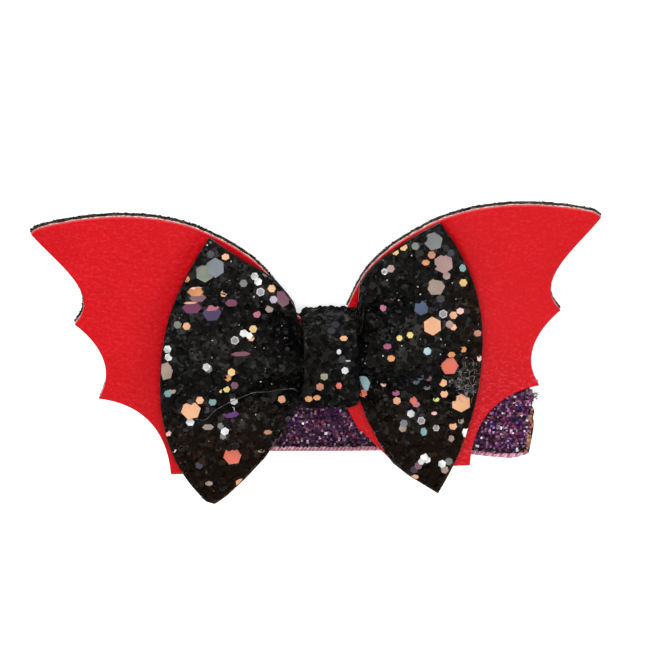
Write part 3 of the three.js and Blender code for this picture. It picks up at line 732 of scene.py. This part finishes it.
def keep_on_bow(top):
    """Flakes are cut off where the sheet was cut."""
    side, out, high = find_on_bow(top[..., 0], top[..., 1])
    beyond = (out > 0.995) | (np.abs(high) > 0.988)
    cut = bow_surface(side, np.clip(out, 0, 0.995), np.clip(high, -0.988, 0.988))
    top = top.copy()
    for k in (0, 1):
        top[..., k] = np.where(beyond, cut[..., k], top[..., k])
    return top


def scattered_on_bow(rng, pitch):
    """Places spread evenly over the bow's front, closer where it is steep."""
    xs = np.arange(-28, 26, pitch)
    ys = np.arange(-25, 23, pitch * 0.866)
    x, y = np.meshgrid(xs, ys)
    x = x + (np.arange(len(ys)) % 2)[:, None] * pitch / 2
    x, y = np.tile(x.ravel(), 3), np.tile(y.ravel(), 3)
    x = x + rng.uniform(-0.6, 0.6, x.shape) * pitch
    y = y + rng.uniform(-0.6, 0.6, y.shape) * pitch
    side, out, high = find_on_bow(x, y)
    inside = (out < 1.0) & (np.abs(high) < 1.0) & (np.abs(x) > 4.3)
    side, out, high = side[inside], out[inside], high[inside]
    normal = bow_normal(side, out, high)
    keep = rng.uniform(0, 1, len(side)) < 1 / (3 * np.maximum(normal[:, 2], 0.34))
    place = bow_surface(side, out, high)
    over = np.zeros(len(place))
    for row in BOW_FLAKES:
        x, y, wide, tall, _, _ = flake_row(*row)
        if max(wide, tall) > 1.2:
            away = np.hypot((place[:, 0] - x) / (wide + 0.7), (place[:, 1] - y) / (tall + 0.7))
            keep &= away > (0.44 if wide > 2 else 0.5)
            over[(away < 0.6) & (wide > 2) & (rng.uniform(0, 1, len(place)) < 0.4)] = 0.25
    return place[keep] + normal[keep] * over[keep, None], normal[keep]


def black_shades(rng, count):
    pale = rng.uniform(0, 1, count)
    # About one flake in seven is painted paler grey, a painted sheen such as some black flakes catch.
    shade = np.where(pale < 0.14, rng.uniform(0.007, 0.028, count), rng.uniform(0.001, 0.006, count))
    tint = rng.normal(0, 0.08, (count, 3))
    return np.clip(shade[:, None] * (1 + tint), 0.0005, 1)


def with_painted_warm_light(shades, place):
    """The lower and right parts of the bow are painted darker and browner, a painted warm reflection."""
    warm = np.clip(np.maximum((-place[:, 1] - 5) / 8, (place[:, 0] - 18) / 5), 0, 1)[:, None]
    return shades * (1 + warm * (-0.3, -0.6, -0.8)) + warm * (0.0045, 0.0018, 0.0004)


def bow_flakes(material):
    rng = np.random.default_rng(11)
    place, normal = scattered_on_bow(rng, 0.82)
    count = len(place)
    big = add_plates(
        "bow_black_flakes",
        material,
        place + normal * rng.uniform(0.08, 0.36, count)[:, None],
        leaned(normal, rng, 0.16),
        rng.uniform(0, 2, count),
        rng.uniform(1.05, 1.35, count),
        with_painted_warm_light(black_shades(rng, count), place),
        0.05,
        keep_in=keep_on_bow,
    )
    place, normal = scattered_on_bow(rng, 0.8)
    count = len(place)
    shades = with_painted_warm_light(black_shades(rng, count), place)
    glint = rng.uniform(0, 1, count)
    lower = (place[:, 1] < -12) & (place[:, 0] > -17)
    # Painted glints: some small flakes are coloured grey and a few near white, but not on the bow's lower
    # part away from its left end.
    shades[(glint < 0.09) & ~lower] = (0.10, 0.10, 0.10)
    shades[(glint < 0.028) & ~lower] = (0.6, 0.59, 0.57)
    small = add_plates(
        "bow_small_flakes",
        material,
        place + normal * rng.uniform(0.2, 0.45, count)[:, None],
        leaned(normal, rng, 0.4),
        rng.uniform(0, 2, count),
        np.where(glint < 0.09, rng.uniform(0.14, 0.34, count), rng.uniform(0.35, 0.75, count)),
        shades,
        0.04,
        keep_in=keep_on_bow,
    )
    return [big, small]


TOWARDS_VIEW = np.array([0.0, 0.34, 0.94])


def chart_plates(rows, name, on, material, lay, rng, keep_in=None):
    """The flakes of a chart. A ring is a pale plate with a smaller dark one on it."""
    plates = []
    for row in rows:
        x, y, wide, tall, colour, turn = flake_row(*row)
        place, normal = on(x, y)
        turn = rng.uniform(0, 1.05) if turn is None else math.radians(turn)
        normal = unit(0.6 * normal + 1.4 * TOWARDS_VIEW + rng.normal(0, 0.12, 3))
        lift = 0.36 + 0.08 * rng.uniform() + 0.05 * (max(wide, tall) > 2) + 0.3 * (4 < abs(x) < 6)
        if colour == "ring":
            plates.append((place + TOWARDS_VIEW * lift, normal, turn, wide, tall, FLAKE_COLOURS["pearl"]))
            wide, tall, lift = wide * 0.78, tall * 0.78, lift + 0.06
        plates.append((place + TOWARDS_VIEW * lift, normal, turn, wide, tall, FLAKE_COLOURS[colour]))
    places, normals, turns, wide, tall, colours = map(np.array, zip(*plates))
    return add_plates(
        name, material, places, normals, turns, wide, colours, 0.06, keep_in=keep_in, lay=lay, tall=tall
    )


def on_bow(x, y):
    side, out, high = find_on_bow(x, y)
    out, high = np.clip(out, 0, 1), np.clip(high, -1, 1)
    place = bow_surface(side, out, high)
    place[:2] = x, y
    return place, bow_normal(side, out, high)


# The band.

BAND_HALF_WIDTH, BAND_HALF_HEIGHT, BAND_FRONT, BAND_BACK = 4.2, 6.8, 7.45, -3.3
BAND_LOW_RADIUS, BAND_TOP_RADIUS, BAND_BACK_RADIUS = 1.9, 3.1, 1.4
CANVAS_THICKNESS = 0.8


def band_loop(steps=12):
    """The band's loop in Y and Z, from the back's middle round the lower side and the front."""
    points = [(0.0, BAND_BACK)]
    corners = [
        (-1, BAND_BACK, 1, BAND_BACK_RADIUS, 1.5),
        (-1, BAND_FRONT, -1, BAND_LOW_RADIUS, 1.0),
        (1, BAND_FRONT, -1, BAND_TOP_RADIUS, 0.5),
        (1, BAND_BACK, 1, BAND_BACK_RADIUS, 0.0),
    ]
    for side, z, inwards, r, start in corners:
        for t in np.linspace(start, start - 0.5, steps + 1) * math.pi:
            y = side * (BAND_HALF_HEIGHT - r) + r * math.cos(t)
            points.append((y, z + inwards * r + r * math.sin(t)))
    points.append((0.0, BAND_BACK))
    return np.array(points)


def band_surface(around, across):
    """The band's outer face at a share around the loop and a share across from -1 to 1."""
    around, across = np.broadcast_arrays(np.asarray(around, float) % 1.0, np.asarray(across, float))
    loop = band_loop()
    length = np.concatenate([[0], np.cumsum(np.linalg.norm(np.diff(loop, axis=0), axis=1))])
    y = np.interp(around * length[-1], length, loop[:, 0])
    z = np.interp(around * length[-1], length, loop[:, 1])
    sag = 0.25 * across**2
    y = y * (1 - sag / 7)
    z = 2 + (z - 2) * (1 - sag / 5.4)
    return np.stack([across * BAND_HALF_WIDTH + BAND_SHIFT, y, z], -1)


def band_normal(around, across):
    step = 0.002
    along = band_surface(around + step, across) - band_surface(around - step, across)
    left = band_surface(around, np.maximum(across - step, -1))
    right = band_surface(around, np.minimum(across + step, 1))
    return unit(np.cross(right - left, along))


def band_canvas(material):
    bm = laid_grid(90, 30, lambda along, across: band_surface((along + 1) / 2, across))
    bmesh.ops.remove_doubles(bm, verts=bm.verts, dist=0.001)
    mark_edge(bm)
    face_outwards(bm, middle=2)
    thicken(bm, CANVAS_THICKNESS)
    return from_bmesh("band_canvas", bm, material, smooth=True)


def band_flakes(material):
    rng = np.random.default_rng(5)
    count = 900
    around, across = rng.uniform(0, 1, count), rng.uniform(-0.97, 0.97, count)
    normal = band_normal(around, across)
    shades = black_shades(rng, count)
    # Some flakes on the band's upward-facing top are painted a touch lighter as lit from above, and one in
    # eight anywhere paler still, a painted sheen.
    top = (normal[:, 1] > 0.3) & (rng.uniform(0, 1, count) < 0.25)
    shades *= 0.55
    shades[top] += 0.001
    shades[rng.uniform(0, 1, count) < 0.12] += 0.009
    seen = (normal @ TOWARDS_VIEW > -0.1)[:, None]
    facing = np.where(seen, normal + 0.6 * TOWARDS_VIEW, normal)
    lift = rng.uniform(0.03, 0.2, count) - 0.15 * (normal[:, 1] > 0.6)
    return add_plates(
        "band_flakes",
        material,
        band_surface(around, across) + normal * lift[:, None],
        leaned(unit(facing), rng, 0.24),
        rng.uniform(0, 2, count),
        rng.uniform(0.9, 1.35, count),
        shades,
        0.05,
        lay=None,
    )


def on_band(x, y):
    """A place on the band, from the height that it seems to have in the view."""
    around = np.linspace(0.3, 0.8, 600)
    place = band_surface(around, np.full(600, x / BAND_HALF_WIDTH))
    seems = place[:, 1] - (place[:, 2] - BAND_FRONT) * math.tan(VIEW_TILT)
    nearest = int(np.argmin(np.abs(seems - y)))
    return place[nearest], band_normal(around[nearest], x / BAND_HALF_WIDTH)


# The ribbon and the clip.

RIBBON_TURN = math.radians(-3.8)
RIBBON_MIDDLE = (7.8, -12.15)
RIBBON_HALF_LENGTH, RIBBON_HALF_WIDTH = 26.0, 5.5
RIBBON_FACE, RIBBON_THICKNESS = -2.78, 0.6
SELVAGE, SELVAGE_THICKNESS = 0.75, 0.78
TINSEL_FRONT, TINSEL_BACK = -2.66, -3.5
CLIP_SHIFT, CLIP_DROP = 6.6, 12.15


def turn_ribbon(points):
    return turned(points, RIBBON_TURN, RIBBON_MIDDLE)


RIBBON_LOWER_EDGE = [
    (-26, -6.3), (-15.3, -6.25), (-10.5, -6.1), (-4.2, -5.9), (2.9, -5.55), (11.7, -5.55), (16.5, -5.7),
    (19.6, -6.0), (23.1, -6.15), (24.4, -5.95), (25.6, -5.5), (26.2, -5.1),
]
RIBBON_CUT_END = [
    (-6, 25.6), (-5, 26.0), (-2.9, 26.25), (-1.2, 26.45), (0.1, 26.45), (0.9, 26.2), (1.6, 26.5),
    (2.2, 26.3), (2.9, 25.9), (3.6, 26.1), (4.4, 26.3), (5.5, 25.6),
]


def lower_edge(x):
    return np.interp(x, *np.array(RIBBON_LOWER_EDGE).T)


def cut_end(y):
    return np.interp(y, *np.array(RIBBON_CUT_END).T)


def ribbon_grid(along, over, z):
    """A place on the ribbon from its shares along, -1 to 1, and over, 0 at the lower edge to 1."""
    x = along * RIBBON_HALF_LENGTH
    low = lower_edge(x)
    y = low + over * (RIBBON_HALF_WIDTH - low)
    x = np.where(x > 20, 20 + (x - 20) * (cut_end(y) - 20) / 6, x)
    return np.stack([x, y, np.full(x.shape, z)], -1)


def ribbon_cloth(material):

    def surface(along, over):
        return turn_ribbon(ribbon_grid(along, over / 2 + 0.5, RIBBON_FACE))

    bm = laid_grid(90, 20, surface)
    gone = [f for f in bm.faces if in_passage(*f.calc_center_median().xy)]
    bmesh.ops.delete(bm, geom=gone, context="FACES")
    mark_edge(bm)
    face_outwards(bm)
    thicken(bm, RIBBON_THICKNESS)
    return from_bmesh("ribbon_cloth", bm, material)


TINSEL = np.array([
    (0.008, 0.002, 0.008), (0.028, 0.004, 0.028), (0.08, 0.010, 0.075), (0.14, 0.02, 0.11),
    (0.24, 0.045, 0.15), (0.40, 0.20, 0.32), (0.55, 0.24, 0.34), (0.8, 0.74, 0.76), (0.34, 0.02, 0.05),
    (0.08, 0.04, 0.26),
])
TINSEL_SHARES = [0.24, 0.20, 0.17, 0.13, 0.10, 0.07, 0.04, 0.01, 0.02, 0.02]
ORANGE_ENDS = np.array([(0.55, 0.22, 0.10), (0.40, 0.15, 0.07), (0.16, 0.05, 0.03), (0.65, 0.32, 0.2)])
# Painted glints: facets coloured white where they catch the light, by place and width.
RIBBON_GLINTS = [
    (17.8, -4.3, 0.85), (24.2, -4.6, 0.9), (23.3, 4.3, 0.7), (23.1, 3.4, 0.5), (23.4, 2.8, 0.5),
    (21.3, 1.3, 0.45), (24.5, 1.1, 0.6), (21.4, -1.2, 0.7), (25.5, 0.3, 0.6), (22.8, -1.5, 0.6),
    (23.3, -2.0, 0.5), (25.1, -1.6, 0.45), (18.1, -2.8, 0.5), (18.8, 1.3, 0.4), (-6.4, -3.0, 0.7),
    (-10.3, -1.6, 0.4), (-9.8, -1.1, 0.35), (-9.5, -4.4, 0.45), (-11.5, 0.1, 0.5),
]


def ribbon_tinsel(material, z, name, seed, faces_up):
    """The woven facets on one face of the ribbon."""
    rng = np.random.default_rng(seed)
    xs = np.arange(-25.8, 26.3, 0.31)
    ys = np.arange(-5.4, 5.45, 0.36)
    x, y = (a.ravel() for a in np.meshgrid(xs, ys))
    x = x + rng.uniform(-0.06, 0.06, x.shape)
    y = y + rng.uniform(-0.14, 0.14, y.shape)
    inside = (y > lower_edge(x) + SELVAGE) & (x < cut_end(y) - 0.15)
    inside &= [not in_passage(*p[:2]) for p in turn_ribbon(np.stack([x, y, x * 0], 1))]
    x, y = x[inside], y[inside]
    count = len(x)
    colours = TINSEL[rng.choice(len(TINSEL), count, p=TINSEL_SHARES)]
    colours = colours * np.where(y < lower_edge(x) + SELVAGE + 0.7, 0.35, 1.0)[:, None]
    # Painted shadow: tinsel behind the wings and the bow is darkened, most in its upper part under the
    # band.
    in_painted_shadow = (x > -17) & (x < 8)
    colours = colours * np.where(in_painted_shadow, np.where(y > 2.4, 0.25, 0.6), 1.0)[:, None]
    at_end = (x > cut_end(y) - 0.15 - rng.uniform(0.3, 0.7, count)) & (y < 2.4)
    colours[at_end] = ORANGE_ENDS[rng.choice(4, int(at_end.sum()))]
    widths = rng.uniform(0.4, 0.6, count)
    if faces_up:
        # Painted glints: the facets nearest these places are coloured white.
        for gx, gy, wide in RIBBON_GLINTS:
            nearest = int(np.argmin(np.hypot(x - gx, y - gy)))
            colours[nearest], widths[nearest] = (0.9, 0.88, 0.92), wide
    normal = leaned(np.tile([0.0, 0.0, 1.0 if faces_up else -1.0], (count, 1)), rng, 0.28)
    return add_plates(
        name,
        material,
        np.stack([x, y, np.full(count, z)], 1),
        normal,
        np.full(count, math.pi / 4),
        widths,
        colours,
        0.08,
        sides=4,
        lay=turn_ribbon,
    )


def add_threads(name, material, lines, radius, sides=5):
    """A piece of threads, each a line of face-up points."""
    verts, faces = [], []
    for line in lines:
        line = through(line, 3)
        step = unit(np.gradient(line, axis=0))
        side = unit(np.cross(step, (0.13, 0.21, 0.97)))
        over = np.cross(step, side)
        first = len(verts)
        for p, a, b in zip(line, side, over):
            for k in range(sides):
                angle = 2 * math.pi * k / sides
                verts.append(p + radius * (a * math.cos(angle) + b * math.sin(angle)))
        for i in range(len(line) - 1):
            for k in range(sides):
                m = (k + 1) % sides
                a = first + i * sides
                faces.append((a + k, a + m, a + sides + m, a + sides + k))
        faces.append(tuple(first + k for k in reversed(range(sides))))
        faces.append(tuple(first + (len(line) - 1) * sides + k for k in range(sides)))
    mesh = bpy.data.meshes.new(name)
    mesh.from_pydata(lie_down(verts).tolist(), [], faces)
    bm = bmesh.new()
    bm.from_mesh(mesh)
    bmesh.ops.recalc_face_normals(bm, faces=bm.faces)
    bm.to_mesh(mesh)
    bm.free()
    return add_object(name, mesh, material)


def ribbon_selvage(pink, white):
    """The plain pink edge under the tinsel, with a row of white stitches."""

    def surface(along, over):
        place = ribbon_grid(along * 0.997, over * 0, RIBBON_FACE + 0.08)
        place[:, 1] += (over / 2 + 0.5) * SELVAGE
        return turn_ribbon(place)

    bm = laid_grid(120, 2, surface)
    face_outwards(bm)
    thicken(bm, SELVAGE_THICKNESS)
    strip = from_bmesh("ribbon_selvage", bm, pink)
    rng = np.random.default_rng(8)
    stitches = []
    for x in np.arange(-25, 25, 0.62):
        low = float(lower_edge(x)) + 0.12 + rng.uniform(-0.04, 0.04)
        line = [(x, low, -2.66), (x + 0.2, low + 0.3, -2.58), (x + 0.34, low + 0.52, -2.66)]
        stitches.append(turn_ribbon(line))
    return strip, add_threads("selvage_stitches", white, stitches, 0.06)


def loose_threads(material):
    """Frayed threads at the ribbon's cut corner."""
    rng = np.random.default_rng(31)
    lines = []
    for _ in range(44):
        x, y = rng.uniform(24.2, 26.2), rng.uniform(4.0, 5.2)
        heading = rng.uniform(-0.6, 1.9)
        line = [(x, y, -2.72)]
        for _ in range(4):
            heading += rng.normal(0, 0.5)
            x, y = x + 0.3 * math.cos(heading), y + 0.3 * math.sin(heading)
            line.append((min(x, 26.9), min(y, 5.6), -2.72 + rng.uniform(-0.2, 0.1)))
        lines.append(turn_ribbon(line))
    return add_threads("frayed_threads", material, lines, THREAD_RADIUS, 4)


THREAD_RADIUS, FIBRE_RADIUS = 0.045, 0.026
STRAY_THREAD = [
    (-21.7, -8.2), (-20.1, -8.3), (-18.6, -6.8), (-16.5, -5.6), (-14.0, -4.5), (-12.3, -4.0),
    (-9.7, -4.6), (-7.9, -4.9), (-6.2, -4.7), (-5.1, -4.7),
]


def over_bow(line, lift):
    """A line of places on the bow, lifted off it."""
    side, out, high = find_on_bow(*np.array(line, float).T)
    out, high = np.clip(out, 0, 1), np.clip(high, -1, 1)
    return turn_bow(bow_surface(side, out, high) + bow_normal(side, out, high) * lift)


def stray_thread(material):
    line = over_bow(through(STRAY_THREAD, 3), 0.55)
    return add_threads("stray_thread", material, [line], THREAD_RADIUS, 6)


def caught_fibres(material):
    """A small tangle of fibres caught between the flakes."""
    rng = np.random.default_rng(17)
    lines = []
    for _ in range(75):
        x, y = rng.uniform(19.2, 23.3), rng.uniform(-6.6, -2.0)
        if math.hypot(x - 20.4, y + 8.2) < 2.0:
            continue
        heading = rng.uniform(0, 6.28)
        line = []
        for _ in range(7):
            heading += rng.normal(0.15, 0.5)
            x, y = x + 0.3 * math.cos(heading), y + 0.3 * math.sin(heading)
            line.append((min(x, 23.4), y))
        lines.append(over_bow(line, rng.uniform(0.4, 0.65)))
    return add_threads("caught_fibres", material, lines, FIBRE_RADIUS, 4)


def backing_rim(outline, material):
    """Flakes that stick out of the backing's cut edge."""
    rng = np.random.default_rng(41)
    edge = resampled(outline, 0.16)
    outer = grown(edge, rim_growth(edge, 0.08, 0.0, -0.25))
    keep = np.array([not in_passage(*p) and rng.uniform() < (1.0 if p[1] > 5 else 0.5) for p in outer])
    outer = outer[keep]
    count = len(outer)
    place = np.column_stack([outer + rng.normal(0, 0.03, outer.shape), rng.uniform(-2.2, -1.4, count)])
    normal = rng.normal(0, 1, (count, 3))
    normal[:, 2] = np.abs(normal[:, 2]) + 0.4
    normal = unit(normal)
    shades = rng.uniform(0.001, 0.01, (count, 1)) * (1.2, 0.9, 0.7)
    brown = rng.uniform(0, 1, count) < 0.12
    shades[brown] = (0.12, 0.05, 0.02)
    turns, widths = rng.uniform(0, 1, count), rng.uniform(0.2, 0.42, count)
    return add_plates("backing_rim_flakes", material, place, normal, turns, widths, shades, 0.05, lay=None)


def spring_clip(material):
    """One bent strip: a straight upper arm, a round bend behind, and a lower arm that comes up to grip."""
    half, thick, width = 24.0, 0.8, 7.4
    upper, lower, grip = -4.3, -11.1, -5.7
    radius = (upper - lower) / 2
    bend = half - radius - thick / 2
    line = [(-half, upper), (bend, upper)]
    for t in np.linspace(0.5, -0.5, 17)[1:] * math.pi:
        line.append((bend + radius * math.cos(t), (upper + lower) / 2 + radius * math.sin(t)))
    knee, nose = bend - 30, 3.5 - half
    line.append((knee, lower))
    handles = [(knee, lower), ((knee + nose) / 2, lower), ((knee + 2 * nose) / 3, grip), (nose, grip)]
    line.extend(map(tuple, bezier(*(np.array(p, float) for p in handles), 12)))
    line.append((-half, grip - 1.4))
    line = np.array(line)
    step = unit(np.gradient(line, axis=0))
    out = np.stack([-step[:, 1], step[:, 0]], 1) * thick / 2
    outline = np.vstack([line + out, (line - out)[::-1]])
    bm = bmesh.new()
    base = CLIP_DROP + width / 2
    face = bm.faces.new([bm.verts.new((x + CLIP_SHIFT, -base, z)) for x, z in outline])
    made = bmesh.ops.extrude_face_region(bm, geom=[face])["geom"]
    far_side = [g for g in made if isinstance(g, bmesh.types.BMVert)]
    bmesh.ops.translate(bm, verts=far_side, vec=(0, width, 0))
    bmesh.ops.recalc_face_normals(bm, faces=bm.faces)
    rim = [e for e in bm.edges if e.calc_face_angle(0) > 1.0]
    bmesh.ops.bevel(bm, geom=rim, offset=0.2, segments=3, profile=0.5, affect="EDGES", material=-1)
    return from_bmesh("spring_clip", bm, material)


# Making it.

place_camera()
light_studio()
lay_floor(light_table_material())

leather = leather_material()
lining = lining_material()
fine_glitter = fine_glitter_group()
backing_glitter = glitter_material(
    "backing_glitter",
    fine_glitter,
    [(0.0, (0.002, 0.0015, 0.001)), (0.8, (0.012, 0.008, 0.006)), (0.97, (0.05, 0.03, 0.018))],
    (0.012, 0.004, 0.002),
    1500.0,
    0.9,
)
canvas_blacks = [(0.0, (0.001, 0.001, 0.001)), (0.8, (0.006, 0.005, 0.004)), (0.97, (0.03, 0.028, 0.026))]
canvas_glitter = glitter_material(
    "canvas_glitter", fine_glitter, canvas_blacks, (0.09, 0.03, 0.008), 1800.0, 0.8
)
flake_gloss = flake_material("glitter_flakes", 0.35, 0.075)
band_gloss = flake_material("band_flakes", 0.55, 0.05)
tinsel_gloss = flake_material("tinsel", 0.3, 0.25, 0.2)
ribbon_weave = cloth_material("ribbon_weave", (0.01, 0.004, 0.015), (0.05, 0.02, 0.07))

outline = wings_outline()
wings = wing_sheet("wings_leather", outline, 0.0, LEATHER_THICKNESS, leather, 0.1, round_edge=0.1)
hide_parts("wings")

edge = resampled(outline, 0.7)
rng = np.random.default_rng(3)
lining_edge = grown(edge, rng.uniform(-0.09, 0.03, len(edge)))
lining_sheet = wing_sheet("wings_lining", lining_edge, LINING_FRONT, LINING_THICKNESS, lining, 0.0)
backing_edge = grown(edge, rim_growth(edge, 0.08, 0.04, -0.12) + rng.uniform(-0.05, 0.05, len(edge)))
backing = wing_sheet(
    "wings_backing_canvas", backing_edge, BACKING_FRONT, BACKING_THICKNESS, backing_glitter, 0.0
)
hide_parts("wings_backing")

canvas = bow_canvas(canvas_glitter)
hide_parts("bow")
flakes = bow_flakes(flake_gloss)
charted = chart_plates(
    BOW_FLAKES, "bow_coloured_flakes", on_bow, flake_gloss, turn_bow, np.random.default_rng(2), keep_on_bow
)
band_glitter = glitter_material(
    "band_glitter", fine_glitter, canvas_blacks, (0.012, 0.006, 0.004), 1800.0, 0.8
)
band = band_canvas(band_glitter)
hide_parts("band")
band_black = band_flakes(band_gloss)
band_charted = chart_plates(
    BAND_FLAKES, "band_coloured_flakes", on_band, flake_gloss, None, np.random.default_rng(4)
)
ribbon = ribbon_cloth(ribbon_weave)
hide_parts("ribbon")
tinsel = [
    ribbon_tinsel(tinsel_gloss, TINSEL_FRONT, "ribbon_tinsel", 23, True),
    ribbon_tinsel(tinsel_gloss, TINSEL_BACK, "ribbon_tinsel_back", 24, False),
]
pink_selvage = cloth_material("pink_selvage", (0.30, 0.09, 0.14), (0.62, 0.27, 0.36))
white_stitch = cloth_material("white_stitch", (0.55, 0.42, 0.46), (0.85, 0.74, 0.78))
selvage, stitches = ribbon_selvage(pink_selvage, white_stitch)
grey_thread = cloth_material("grey_thread", (0.07, 0.065, 0.06), (0.22, 0.21, 0.20))
pale_thread = cloth_material("pale_thread", (0.10, 0.09, 0.09), (0.30, 0.28, 0.28))
frayed = loose_threads(pale_thread)
thread = stray_thread(grey_thread)
fibres = caught_fibres(pale_thread)
rim_flakes = backing_rim(outline, flake_gloss)
clip = spring_clip(steel_material())
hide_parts("clip")

everything = [wings, lining_sheet, backing, canvas, *flakes, charted, band, band_black, band_charted]
everything += [ribbon, *tinsel, selvage, stitches, frayed, thread, fibres, rim_flakes, clip]
for piece in everything:
    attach(piece, "root")
